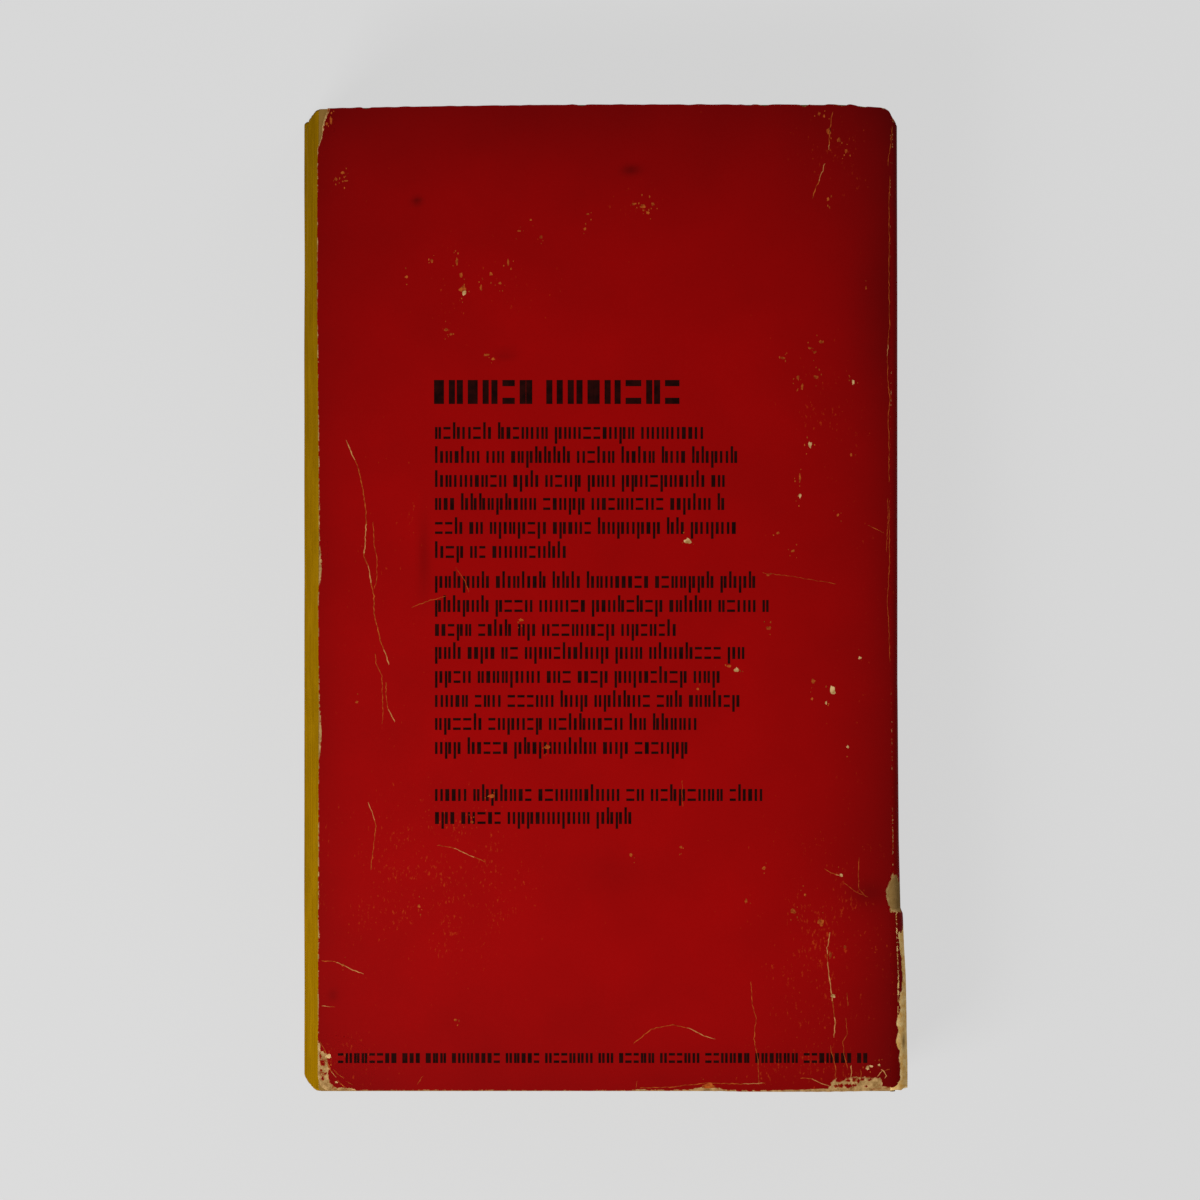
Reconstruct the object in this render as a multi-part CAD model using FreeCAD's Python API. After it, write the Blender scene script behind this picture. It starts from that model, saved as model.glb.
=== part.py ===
import FreeCAD, Part
import math
import os

# A worn mass-market paperback that lies on its front cover with the back cover up.
# +X runs from the fore edge to the spine, +Y from the tail to the head, +Z up.
# The origin is the centre of the box round the book, on the surface it lies on.
# All sizes are in millimetres.

# Trimmed size of the book
BOOK_HEIGHT = 178.0        # head to tail, at the highest point of the head
COVER_WIDTH = 103.5        # crease at the spine to fore edge
BLOCK_THICKNESS = 24.0     # the pages alone

# Materials
CARD = 0.3                 # cover card
GLUE_FILM = 0.5            # binding glue between the backs of the pages and the card

# How reading has bent the book
LEAN = 3.6                 # the front crease lies this far towards the fore edge of the back crease
SHOULDER_RADIUS = 1.2      # the card bends round this radius on each side of the spine
TAIL_FLARE = 2.0           # the loose card of the spine stands off this far more at the tail
FLARE_LENGTH = 32.2        # from the tail up to the tear where the spine card starts to stand off

# How the knife left the head: it bows a little and drops towards the fore edge
HEAD_DROP_AT_FORE_EDGE = 1.0
HEAD_DROP_AT_SPINE = 0.4
HEAD_BOW_FROM_CREASE = 33.0

# Worn corners at the fore edge: the pages have kept theirs better than the covers
COVER_HEAD_CORNER_RADIUS = 3.2
COVER_TAIL_CORNER_RADIUS = 2.2
PAGE_HEAD_CORNER_RADIUS = 1.2
PAGE_TAIL_CORNER_RADIUS = 0.6
SPINE_HEAD_WEAR_ALONG = 4.5    # the corner between head and spine is rubbed off, this far down
SPINE_HEAD_WEAR_ACROSS = 0.9   # and this far across the back cover
SPINE_TAIL_WEAR = 0.9          # size of the smaller rubbed corner at the tail

# The chip at the back crease, where the outer plies of the card have peeled off
CHIP_FROM_TAIL = 35.8      # tail to the middle of the chip
CHIP_PAST_CREASE = 0.4     # back crease to the middle of the chip
CHIP_LENGTH = 6.4
CHIP_WIDTH = 2.5
CHIP_DEPTH = 0.15

# Places that follow from the sizes above
THICKNESS = BLOCK_THICKNESS + 2 * CARD
HEAD = BOOK_HEIGHT / 2
TAIL = -BOOK_HEIGHT / 2
SPINE_HEAD = HEAD - HEAD_DROP_AT_SPINE
SPINE_REACH = SHOULDER_RADIUS + TAIL_FLARE
BACK_CREASE_X = (COVER_WIDTH + LEAN - SPINE_REACH) / 2
FRONT_CREASE_X = BACK_CREASE_X - LEAN
TEAR_Y = TAIL + FLARE_LENGTH
PAST_THE_SPINE = 2 * (SPINE_REACH + LEAN)   # how far cutting solids run past the spine


def point(x, y, z):
    return FreeCAD.Vector(x, y, z)


def page_outline(crease_x, z, right_x):
    """One leaf seen from above: a bowed head, worn fore corners, and its back edge at right_x."""
    fore_x = crease_x - COVER_WIDTH
    fore_head = point(fore_x, HEAD - HEAD_DROP_AT_FORE_EDGE, z)
    bow = point(crease_x - HEAD_BOW_FROM_CREASE, HEAD, z)
    crease_head = point(crease_x, SPINE_HEAD, z)
    fore_tail = point(fore_x, TAIL, z)
    right_tail = point(right_x, TAIL, z)
    edges = [
        Part.LineSegment(fore_tail, fore_head).toShape(),
        Part.Arc(fore_head, bow, crease_head).toShape(),
    ]
    if right_x > crease_x:
        right_head = point(right_x, SPINE_HEAD, z)
        edges.append(Part.LineSegment(crease_head, right_head).toShape())
        edges.append(Part.LineSegment(right_head, right_tail).toShape())
    else:
        edges.append(Part.LineSegment(crease_head, right_tail).toShape())
    edges.append(Part.LineSegment(right_tail, fore_tail).toShape())
    return Part.Face(Part.Wire(edges))


def leaning_sheet(crease_x, z, right_x, rise, lean, head_radius, tail_radius):
    """A leaf's outline raised by rise while it slides lean towards the spine, with worn fore corners."""
    solid = page_outline(crease_x, z, right_x).extrude(point(lean, 0, rise))
    fore_x = crease_x - COVER_WIDTH
    head_corner = point(fore_x + lean / 2, HEAD - HEAD_DROP_AT_FORE_EDGE, z + rise / 2)
    tail_corner = point(fore_x + lean / 2, TAIL, z + rise / 2)
    for corner, radius in ((head_corner, head_radius), (tail_corner, tail_radius)):
        edge = min(solid.Edges, key=lambda e: e.CenterOfMass.distanceToPoint(corner))
        solid = solid.makeFillet(radius, [edge])
    return solid


def spine_side(inset, flare):
    """Edges of the spine's section, at inset inside the outer face of the card, from back to front."""
    back_radius = SHOULDER_RADIUS + flare
    back_centre = (BACK_CREASE_X, THICKNESS - back_radius)
    front_centre = (FRONT_CREASE_X, SHOULDER_RADIUS)
    across = back_centre[0] - front_centre[0]
    up = back_centre[1] - front_centre[1]
    # The flat of the spine touches both shoulders; facing is the direction that it faces.
    facing = math.atan2(up, across) - math.acos((SHOULDER_RADIUS - back_radius) / math.hypot(across, up))

    def on_shoulder(centre, radius, angle):
        reach = radius - inset
        return point(centre[0] + reach * math.cos(angle), 0, centre[1] + reach * math.sin(angle))

    up_angle = math.pi / 2
    down_angle = -math.pi / 2
    back_crease = on_shoulder(back_centre, back_radius, up_angle)
    back_middle = on_shoulder(back_centre, back_radius, (up_angle + facing) / 2)
    back_end = on_shoulder(back_centre, back_radius, facing)
    front_end = on_shoulder(front_centre, SHOULDER_RADIUS, facing)
    front_middle = on_shoulder(front_centre, SHOULDER_RADIUS, (down_angle + facing) / 2)
    front_crease = on_shoulder(front_centre, SHOULDER_RADIUS, down_angle)
    return [
        Part.Arc(back_crease, back_middle, back_end).toShape(),
        Part.LineSegment(back_end, front_end).toShape(),
        Part.Arc(front_end, front_middle, front_crease).toShape(),
    ]


def spine_layer_wire(outer_inset, inner_inset, flare, y):
    """Closed section of one layer of the spine, at height y up the book."""
    outer = spine_side(outer_inset, flare)
    inner = spine_side(inner_inset, flare)
    back_close = Part.LineSegment(
        point(BACK_CREASE_X, 0, THICKNESS - inner_inset),
        point(BACK_CREASE_X, 0, THICKNESS - outer_inset),
    ).toShape()
    front_close = Part.LineSegment(
        point(FRONT_CREASE_X, 0, outer_inset), point(FRONT_CREASE_X, 0, inner_inset)
    ).toShape()
    wire = Part.Wire(outer + [front_close] + inner[::-1] + [back_close])
    wire.translate(point(0, y, 0))
    return wire


def head_corner_wear():
    """The wedge that is rubbed off where the head meets the spine."""
    across_start = point(BACK_CREASE_X - SPINE_HEAD_WEAR_ACROSS, SPINE_HEAD, -CARD)
    along_end = point(BACK_CREASE_X + SHOULDER_RADIUS, SPINE_HEAD - SPINE_HEAD_WEAR_ALONG, -CARD)
    slope = along_end - across_start
    far_start = across_start - slope
    far_end = along_end + slope
    outside = point(far_end.x, far_start.y, -CARD)
    wire = Part.makePolygon([far_start, far_end, outside, far_start])
    return Part.Face(wire).extrude(point(0, 0, THICKNESS + 2 * CARD))


def tail_corner_wear():
    """The small wedge that is rubbed off where the tail meets the spine."""
    right = BACK_CREASE_X + SPINE_REACH
    corners = [
        point(right - SPINE_TAIL_WEAR, TAIL, -CARD),
        point(right, TAIL + SPINE_TAIL_WEAR, -CARD),
        point(right, TAIL, -CARD),
    ]
    wire = Part.makePolygon(corners + corners[:1])
    return Part.Face(wire).extrude(point(0, 0, THICKNESS + 2 * CARD))


def chip():
    """The oval of peeled plies at the back crease."""
    centre = point(BACK_CREASE_X + CHIP_PAST_CREASE, TAIL + CHIP_FROM_TAIL, THICKNESS - CHIP_DEPTH)
    long_end = centre + point(0, CHIP_LENGTH / 2, 0)
    side = centre + point(CHIP_WIDTH / 2, 0, 0)
    oval = Part.Ellipse(long_end, side, centre)
    return Part.Face(Part.Wire(oval.toShape())).extrude(point(0, 0, CHIP_DEPTH + CARD))


def cover_board(crease_x, z):
    """A flat cover that ends at its crease."""
    return leaning_sheet(crease_x, z, crease_x, CARD, 0, COVER_HEAD_CORNER_RADIUS, COVER_TAIL_CORNER_RADIUS)


def back_cover():
    return cover_board(BACK_CREASE_X, THICKNESS - CARD).cut(head_corner_wear()).cut(chip())


def front_cover():
    return cover_board(FRONT_CREASE_X, 0)


def spine_cover():
    flush_head = spine_layer_wire(0, CARD, 0, SPINE_HEAD)
    flush_tear = spine_layer_wire(0, CARD, 0, TEAR_Y)
    flared_tail = spine_layer_wire(0, CARD, TAIL_FLARE, TAIL)
    card = Part.makeLoft([flush_head, flush_tear, flared_tail], True, True)
    return card.cut(head_corner_wear()).cut(tail_corner_wear()).cut(chip())


def spine_glue():
    section = spine_layer_wire(CARD, CARD + GLUE_FILM, 0, TAIL)
    film = Part.Face(section).extrude(point(0, SPINE_HEAD - TAIL, 0))
    return film.cut(head_corner_wear())


def page_block():
    past_spine = FRONT_CREASE_X + PAST_THE_SPINE
    stack = leaning_sheet(
        FRONT_CREASE_X, CARD, past_spine, BLOCK_THICKNESS, LEAN,
        PAGE_HEAD_CORNER_RADIUS, PAGE_TAIL_CORNER_RADIUS,
    )
    bound = spine_side(CARD + GLUE_FILM, 0)
    left = BACK_CREASE_X - COVER_WIDTH - PAST_THE_SPINE
    top = THICKNESS - CARD
    backs = Part.makePolygon([
        point(FRONT_CREASE_X, 0, CARD + GLUE_FILM),
        point(FRONT_CREASE_X, 0, CARD),
        point(left, 0, CARD),
        point(left, 0, top),
        point(BACK_CREASE_X, 0, top),
        point(BACK_CREASE_X, 0, top - GLUE_FILM),
    ])
    profile = Part.Wire(bound + backs.Edges)
    profile.translate(point(0, TAIL - CARD, 0))
    keep = Part.Face(profile).extrude(point(0, BOOK_HEIGHT + 2 * CARD, 0))
    return stack.common(keep).cut(head_corner_wear())


def single_solid(shape):
    """The one solid in a shape that cutting has wrapped in a compound."""
    if len(shape.Solids) != 1:
        raise ValueError("a piece of the book came out as %d solids" % len(shape.Solids))
    return shape.Solids[0]


def main():
    os.makedirs("parts", exist_ok=True)
    pieces = {
        "back_cover": back_cover(),
        "front_cover": front_cover(),
        "spine_cover": spine_cover(),
        "spine_glue": spine_glue(),
        "page_block": page_block(),
    }
    for name, shape in pieces.items():
        solid = single_solid(shape)
        print("%-12s valid %s, volume %.1f mm3" % (name, solid.isValid(), solid.Volume))
        solid.exportStep("parts/%s.step" % name)


main()
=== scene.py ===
import math
import random

import bpy
import numpy as np
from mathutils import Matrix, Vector


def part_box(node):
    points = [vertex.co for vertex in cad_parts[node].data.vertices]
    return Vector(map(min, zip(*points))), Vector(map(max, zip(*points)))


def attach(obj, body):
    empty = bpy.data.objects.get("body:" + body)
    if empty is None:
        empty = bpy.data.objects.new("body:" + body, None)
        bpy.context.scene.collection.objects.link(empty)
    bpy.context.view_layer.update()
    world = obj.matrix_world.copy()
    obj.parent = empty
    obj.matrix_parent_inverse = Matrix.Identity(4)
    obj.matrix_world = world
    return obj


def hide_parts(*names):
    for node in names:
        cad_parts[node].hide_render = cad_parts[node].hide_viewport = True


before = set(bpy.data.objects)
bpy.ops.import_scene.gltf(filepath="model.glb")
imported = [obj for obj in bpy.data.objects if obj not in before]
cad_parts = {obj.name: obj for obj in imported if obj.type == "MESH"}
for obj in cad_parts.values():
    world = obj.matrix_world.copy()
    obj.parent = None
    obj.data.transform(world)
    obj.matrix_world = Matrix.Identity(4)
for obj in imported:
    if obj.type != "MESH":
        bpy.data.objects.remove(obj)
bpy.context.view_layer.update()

# A worn paperback that lies on its front cover. +X runs to the spine, +Y to the head, +Z up.
# Everything is in metres. Sizes in millimetres are multiplied by MM.
MM = 0.001
TURN = 2 * math.pi

# Sizes and places that the solids give
back_low, back_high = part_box("back_cover")
front_low, front_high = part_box("front_cover")
pages_low, pages_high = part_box("page_block")
_, glue_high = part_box("spine_glue")
CARD = back_high.z - back_low.z
TOP = back_high.z
HEAD = back_high.y
TAIL = back_low.y
BACK_CREASE_X = back_high.x
FRONT_CREASE_X = front_high.x
COVER_WIDTH = BACK_CREASE_X - back_low.x
LEAN = BACK_CREASE_X - FRONT_CREASE_X
SHOULDER_RADIUS = glue_high.x - BACK_CREASE_X + CARD
GLUE_FILM = glue_high.x - pages_high.x

# How the photograph sees the book: from straight above, 1200 pixels wide
PHOTO_PX = 1200
HEAD_PX = 104.2
TAIL_PX = 1091.8
CREASE_PX = 890.4
CAMERA_HEIGHT = 850 * MM     # above the back cover
SENSOR_WIDTH = 36.0          # millimetres, the camera's default
PX = (HEAD - TAIL) / (TAIL_PX - HEAD_PX)   # one pixel on the back cover
CAMERA_X = BACK_CREASE_X - (CREASE_PX - PHOTO_PX / 2) * PX
CAMERA_Y = HEAD - (PHOTO_PX / 2 - HEAD_PX) * PX

# Outline of the back cover in photo pixels, worn as it is
FORE_EDGE_PX = [   # (y, x) down the fore edge; the head corner is torn off
    (108.6, 327.5), (113, 326.5), (123, 323), (133, 322.3), (138, 321.2), (144, 319.2), (149, 317.4),
    (300, 317),
    (400, 318), (570, 319.4), (600, 318), (736, 319.2), (780, 318.4), (1000, 318), (1076, 318),
    (1083, 319.5), (1087, 322), (1090.3, 327),
]
HEAD_EDGE_PX = [   # (x, y) along the head
    (327, 108.6), (338, 108), (390, 107), (450, 106), (530, 105), (590, 104.4), (850, 104.4),
    (862, 106.2), (880, 107.5), (885, 108.5), (889, 111), (890.4, 113.5),
]
TAIL_EDGE_PX = [   # (x, y) along the tail
    (327, 1090.3), (500, 1090.6), (710, 1091), (750, 1091.8), (830, 1091.8), (870, 1091),
    (890.4, 1090.3),
]
HEAD_NICKS_PX = [  # (x, depth, half width) of the small nicks in the head edge
    (366, 1.8, 5), (581, 2.0, 5), (748, 1.8, 5), (764, 1.8, 5), (804, 3.4, 5), (843, 1.6, 6),
    (822, 1.2, 6), (862, 1.0, 6),
]

# Rubbed edges: how far in from the edge the print is gone, in millimetres, by photo pixel
FORE_RUB = [
    (108, 0.45), (128, 0.3), (146, 0.18), (170, 0.14), (400, 0.18), (450, 0.22), (545, 0.2),
    (570, 0.5), (588, 0.2), (700, 0.18), (736, 0.45), (765, 0.17), (915, 0.18), (935, 0.28),
    (960, 0.2), (1040, 0.2), (1044, 0.45), (1051, 0.5), (1053, 1.5), (1058, 1.6), (1063, 1.9),
    (1070, 2.0), (1079, 1.75), (1084, 2.1), (1088, 2.8), (1091, 3.2),
]
HEAD_RUB = [(320, 0.1), (360, 0.08), (740, 0.08), (800, 0.12), (860, 0.1), (885, 0.15), (891, 0.2)]
TAIL_RUB = [
    (318, 1.2), (329, 1.0), (333, 0.5), (350, 0.45), (358, 0.15), (620, 0.14), (640, 0.3),
    (690, 0.25), (704, 0.8), (716, 0.7), (725, 0.25), (800, 0.35), (812, 0.5), (829, 0.55),
    (832, 1.9), (836, 2.4), (848, 2.3), (852, 2.5), (864, 2.45), (876, 2.4), (881, 2.1),
    (883, 0.8), (891, 0.7),
]
CREASE_RUB = [(108, 0.26), (200, 0.19), (350, 0.17), (600, 0.16), (700, 0.08), (911, 0.08)]
CREASE_HALF = 0.12 * MM      # half width of the cracked line along each crease
LEFT_RED = 0.6               # how much less the print is rubbed in the middle of the islands below
LEFT_RED_PX = [              # (x, y, half width, half height) of print left inside the rubbed areas
    (837.7, 1080.5, 2.6, 1.3), (842.5, 1079.5, 1.7, 1.4), (848.5, 1080.8, 2.6, 1.3),
    (853.6, 1080, 1.5, 1.8), (836, 1086, 2.8, 1.6), (841.5, 1085.6, 1.7, 1.4), (848, 1086, 3.6, 1.6),
    (854.5, 1085.6, 2, 1.6), (858.5, 1081.4, 1.4, 2), (862.5, 1079.5, 1.8, 1.1), (869.5, 1080, 1.8, 1.1),
    (866, 1086, 1.3, 1), (320.5, 1056, 1.3, 4), (323, 1063, 1.3, 2.2), (321, 1070, 1.5, 1.5),
    (323, 1079, 1.5, 2.2), (326, 1073.5, 1, 1.8),
]

# The peeled chip at the back crease, and the loose worn tail of the spine below the tear
CHIP_LEFT_PX = [             # (y, x) down its left edge
    (875, 895), (877, 892.3), (880, 890.5), (883, 889.6), (886, 888), (889, 886.6), (898, 886.4),
    (901, 887.4), (904, 889), (908, 890), (910, 893), (912, 897.5), (916, 903),
]
CHIP_RIGHT_PX = [(875, 895), (877, 896.2), (880, 899), (883, 903), (916, 903)]
CHIP_RIM_PX = 2.6            # from the sound print to the bare plies
CHIP_ROUND = 3.3 * MM        # how far the chip runs round the spine
CHIP_MIDDLE_PX = 895
CHIP_HALF_PX = 21
CHIP_DEPTH = 0.13 * MM
TEAR_PX = 912
STRIP_FROM_PX = 921          # the rubbed strip starts here, a little below the tear
BAND_FROM_PX = 926           # and its part that can't be seen from above starts here
SPINE_HEAD_PX = [            # (millimetres round the spine, y) of its worn head
    (0, 113.5), (0.2, 116), (0.5, 118.5), (0.92, 121.5), (1.4, 125.5), (2.6, 126.5), (5, 124.5),
    (8, 120), (12, 114), (17, 109), (22, 107), (27, 106.4),
]
SPINE_TAIL_PX = [(0, 1090.3), (2, 1090.3), (3.2, 1087.5), (4.5, 1088.5), (7, 1091), (27, 1091.4)]
STAND_OFF_PX = [             # (y, how many pixels the spine card stands off)
    (108, 0.2), (300, 0.7), (680, 0.8), (720, 1.2), (840, 2.2), (886, 3.4), (911, 4.0), (914, 6.4),
    (946, 7.6), (976, 9.4), (1020, 10.6), (1066, 11.4), (1092, 11.4),
]
SPINE_RUB_PX = [             # (y, x) of the left edge of the rubbed strip on the loose tail
    (922, 905), (931, 903), (935, 898.3), (938, 898.6), (943, 899.6), (950, 900.6), (960, 902),
    (972, 902.8), (984, 903), (991, 902.6), (996, 899.8), (1002, 899.2), (1008, 900.6),
    (1013, 900.4), (1016, 897.8), (1025, 896.8), (1030, 899), (1035, 897.6), (1041, 896.2),
    (1047, 897.6), (1052, 900.6), (1058, 899.6), (1070, 900.4), (1080, 899.6), (1085, 897.4),
    (1088, 893), (1092, 889),
]
SPINE_LINE_PX = [            # (y, x, how worn) of the old fold beside the crease
    (120, 893, 0.3), (165, 892, 0.3), (180, 891, 0.0), (345, 891.2, 0.0), (360, 891.5, 0.25),
    (400, 891, 0.3), (425, 891, 0.0), (665, 891, 0.0), (700, 891.2, 0.28), (760, 892.2, 0.27),
    (800, 892.2, 0.3), (845, 893, 0.34), (872, 892.6, 0.45), (912, 896.4, 0.5),
    (950, 897.4, 0.45), (980, 898.6, 0.6), (1012, 898, 0.5), (1020, 898, 0.0),
]
# Painted shadow: this dent is darkened through the peel mark, as if in shade
DENT_SHADOW_PX = (904, 1042, 1.5, 7)   # (x, y, half width, half height) of the dent in that strip

# Cracks in the print: (width in millimetres, how bare, points in photo pixels)
CRACKS_PX = [
    (0.20, 0.35, [(346, 440), (351, 452), (358, 467), (362, 484), (364, 497), (366, 509), (366, 524),
        (365, 543), (364, 556), (369, 568), (371, 583), (374, 596), (374, 613), (377, 625), (380, 640),
        (386, 655), (389, 665)]),
    (0.16, 0.2, [(386, 682), (386, 695), (388, 709), (395, 722)]),
    (0.12, 0.1, [(373, 522), (374, 543), (377, 560), (377, 579), (374, 589)]),
    (0.12, 0.1, [(375, 653), (376, 663), (382, 676), (383, 711), (382, 724)]),
    (0.15, 0.15, [(368, 802), (373, 814), (376, 826), (374, 845), (372, 858), (371, 870)]),
    (0.14, 0.1, [(456, 568), (465, 581), (469, 592)]),
    (0.16, 0.0, [(412, 608), (425, 602), (446, 596)]),
    (0.15, 0.1, [(437, 845), (454, 848), (469, 855), (486, 862)]),
    (0.16, 0.3, [(322, 961), (334, 961), (343, 965), (353, 970), (364, 974)]),
    (0.14, 0.1, [(322, 1006), (335, 1007)]),
    (0.18, 0.2, [(825, 163), (822, 173), (817, 186), (812, 199)]),
    (0.18, 0.3, [(833, 112), (831, 121), (830, 131), (829, 139), (829, 150)]),
    (0.16, 0.25, [(633, 1044), (651, 1029), (673, 1025), (689, 1028), (704, 1036), (715, 1039)]),
    (0.14, 0.1, [(751, 982), (752, 1003), (756, 1018), (754, 1039), (758, 1060), (759, 1085)]),
    (0.20, 0.45, [(830, 932), (827, 948), (828, 968), (831, 990), (833, 1004), (835, 1020),
        (834, 1038)]),
    (0.15, 0.3, [(830, 1045), (833, 1058), (835.5, 1066), (835.5, 1078)]),
    (0.16, 0.2, [(847, 993), (848, 1006)]),
    (0.13, 0.1, [(846, 1018), (847, 1034), (843, 1042), (844, 1055), (848, 1070)]),
    (0.13, 0.1, [(859, 857), (858, 872), (859, 889), (866, 897)]),
    (0.18, 0.5, [(825, 869), (831, 873), (841, 876)]),
    (0.10, 0.0, [(843, 882), (856, 892), (868, 897)]),
    (0.09, 0.0, [(763, 573), (790, 576), (836, 584)]),
    (0.10, 0.0, [(868, 525), (884, 533)]),
    (0.15, 0.3, [(640, 1088), (672, 1087), (705, 1083), (740, 1084), (765, 1083)]),
    (0.16, 0.4, [(800, 1078), (812, 1079), (822, 1084), (830, 1086)]),
    (0.11, 0.2, [(885.5, 1070.8), (888, 1069.8), (890, 1069.2)]),
    (0.12, 0.1, [(417, 1084), (423, 1076)]),
    (0.14, 0.4, [(636, 1089), (637, 1081)]),
    (0.20, 0.6, [(319.5, 1041), (323, 1047), (326, 1053)]),
    (0.17, 0.6, [(328, 1063), (331, 1071), (336, 1077)]),
    (0.14, 0.4, [(337.5, 1080), (341, 1084), (346, 1087.5)]),
    (0.12, 0.3, [(333, 1069), (338, 1074), (344, 1078)]),
    (0.10, 0.2, [(346, 1080.5), (353, 1085)]),
    (0.10, 0.0, [(892.6, 126), (891, 142), (888.6, 158), (888, 166)]),
    (0.11, 0.05, [(890, 176), (889, 205), (889, 225), (889.4, 240), (889, 262), (889, 285), (889.4, 310),
        (889.6, 325), (888.2, 342), (887.4, 362), (888, 382), (889.7, 398), (888, 420), (889, 440),
        (889, 482)]),
    (0.10, 0.0, [(887.6, 498), (888, 520), (886.8, 541), (886.6, 552)]),
    (0.10, 0.05, [(889.2, 500), (889, 520), (889.4, 545), (889.6, 560), (888.7, 580), (887.2, 598),
        (888.6, 620), (889.3, 640), (889.8, 662)]),
    (0.22, 0.8, [(880.8, 1069), (884.3, 1071.7), (886, 1075.5), (884.6, 1078.5)]),
    (0.16, 0.7, [(882, 1070.5), (880, 1073), (877.5, 1076.5)]),
    (0.20, 0.6, [(851, 1065), (851.5, 1072), (850.5, 1078)]),
    (0.14, 0.2, [(860, 1069), (861.5, 1074), (860.5, 1078)]),
    (0.08, 0.0, [(682, 780), (683, 807)]),
]

# Flecks where the print is chipped off: (x, y, width, height) in photo pixels
BARE_FLECKS_PX = [
    (810, 445, 4, 9), (688, 541, 8, 6), (737, 670, 6, 5), (833, 690, 6, 11), (826, 703, 3, 4),
    (800, 496, 3, 5), (853, 382, 3, 6), (841, 875, 4, 4), (328, 1056, 8, 5), (867.5, 1068, 4, 5),
    (871, 1066.2, 4, 3), (879, 1065, 3, 3), (464, 293, 5, 7), (833, 996, 5, 4), (860, 658, 4, 3),
    (848, 747, 3, 4), (336.5, 1082, 3, 2.5),
]
THIN_FLECKS_PX = [
    (463, 289, 9, 7), (457, 262, 3, 9), (461, 275, 4, 5), (481, 288, 3, 7), (491, 274, 4, 4),
    (508, 262, 2, 8), (500, 283, 4, 3), (432, 261, 3, 4), (406, 277, 4, 3), (519, 231, 4, 2),
    (531, 220, 3, 2), (541, 237, 3, 4), (588, 214, 4, 2), (585, 229, 3, 3), (446, 330, 5, 4),
    (451, 334, 3, 3), (486, 355, 6, 3), (493, 359, 4, 3), (343, 173, 4, 3), (336, 179, 3, 4),
    (346, 181, 4, 2), (331, 121, 3, 9), (327, 124, 3, 3), (828, 199, 3, 5), (643, 206, 7, 5),
    (653, 204, 4, 4), (634, 204, 5, 3), (648, 213, 4, 3), (829, 131, 5, 8), (839, 140, 4, 5),
    (846, 151, 3, 5), (819, 114, 3, 5), (824, 116, 2, 4), (821, 342, 6, 4), (810, 348, 5, 3),
    (815, 352, 4, 3), (783, 358, 6, 3), (816, 377, 5, 4), (802, 387, 3, 6), (798, 378, 3, 6),
    (866, 288, 2, 5), (813, 681, 5, 5), (812, 699, 3, 3), (800, 478, 2, 12), (769, 628, 6, 4),
    (521, 620, 5, 4), (698, 689, 3, 3), (778, 533, 3, 3), (793, 551, 4, 3), (838, 515, 3, 3),
    (851, 455, 2, 4), (793, 911, 8, 6), (821, 922, 7, 8), (631, 855, 3, 4), (681, 847, 3, 3),
    (764, 868, 4, 4), (746, 901, 3, 5), (768, 575, 4, 2), (729, 666, 5, 3), (709, 1086, 14, 6),
    (845, 947, 3, 4), (805, 895, 3, 3), (830, 955, 3, 8), (547, 747, 6, 5), (491, 796, 7, 4),
    (343, 965, 3, 3), (472, 822, 3, 3), (455, 1020, 4, 3), (357, 702, 3, 3), (419, 906, 3, 4),
]

# Print, set as plain blocks: (left, middle y, right, block height) in photo pixels
TITLE_BLOCKS_PX = (434, 392, 690, 24)
FIRST_ROWS_PX = [(433, 702), (457, 745), (481, 733), (504, 728), (528, 741), (552, 575)]
SECOND_ROWS_PX = [
    (582, 757), (606, 770), (630, 684), (653, 748), (677, 727), (701, 743), (724, 696), (748, 694)]
THIRD_ROWS_PX = [(795, 776), (818, 632)]
ROWS_LEFT_PX = 435
ROW_BLOCK_PX = 12
FOOT_BLOCKS_PX = (338, 1058, 873, 10)
HEAVY_STROKE = 0.26          # width of a stroke as a share of the block height
LIGHT_STROKE = 0.21

SPECK_CLEARANCE = 0.5 * MM   # specks of wear keep this far from the cover's edges
BROWNED_BORDER = 12 * MM   # how far age has browned the page faces inwards from their cut edges
FLOOR_COLOUR = "#D9D9D9"
FLOOR_GLOW = 0.9        # share of the floor's own even light that the camera sees
FLOOR_HALF = 1.5        # half the side of the floor
FLOOR_DROP = 0.4 * MM   # so that the front cover, swung open and flat, isn't buried in the floor


def photo_x(px):
    return CAMERA_X + (px - PHOTO_PX / 2) * PX


def photo_y(px):
    return CAMERA_Y + (PHOTO_PX / 2 - px) * PX


def pixel_x(x):
    return PHOTO_PX / 2 + (x - CAMERA_X) / PX


def pixel_y(y):
    return PHOTO_PX / 2 - (y - CAMERA_Y) / PX


def along(points, at):
    """The value at `at` on the line through points."""
    places, values = zip(*points)
    return np.interp(at, places, values)


def wander(at, wavelength, seed):
    """A smooth wobble between -1 and 1 along a line."""
    draw = random.Random(seed)
    waves = [(draw.uniform(0.5, 2.0), draw.uniform(0, TURN)) for _ in range(5)]
    return sum(np.sin(TURN * at / wavelength * rate + start) for rate, start in waves) / len(waves)


def spread(count, crowding):
    """count numbers from 0 to 1 that lie closer together at both ends."""
    even = np.linspace(0, 1, count)
    return even - crowding * np.sin(TURN * even) / TURN


def fade(distance, reach):
    """1 on the line itself, 0.5 at reach from it and 0 at twice that."""
    return np.clip(1 - distance / (2 * reach), 0, 1)


def chip(x, y):
    """1 where the outer plies have peeled off, 0 in the sound print, and 0.5 on the rim between."""
    px, py = pixel_x(x), pixel_y(y)
    inside = np.minimum(px - along(CHIP_LEFT_PX, py), along(CHIP_RIGHT_PX, py) - px)
    inside = np.minimum(inside, CHIP_HALF_PX - np.abs(py - CHIP_MIDDLE_PX))
    return np.clip(0.5 + inside / CHIP_RIM_PX, 0, 1)


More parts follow.
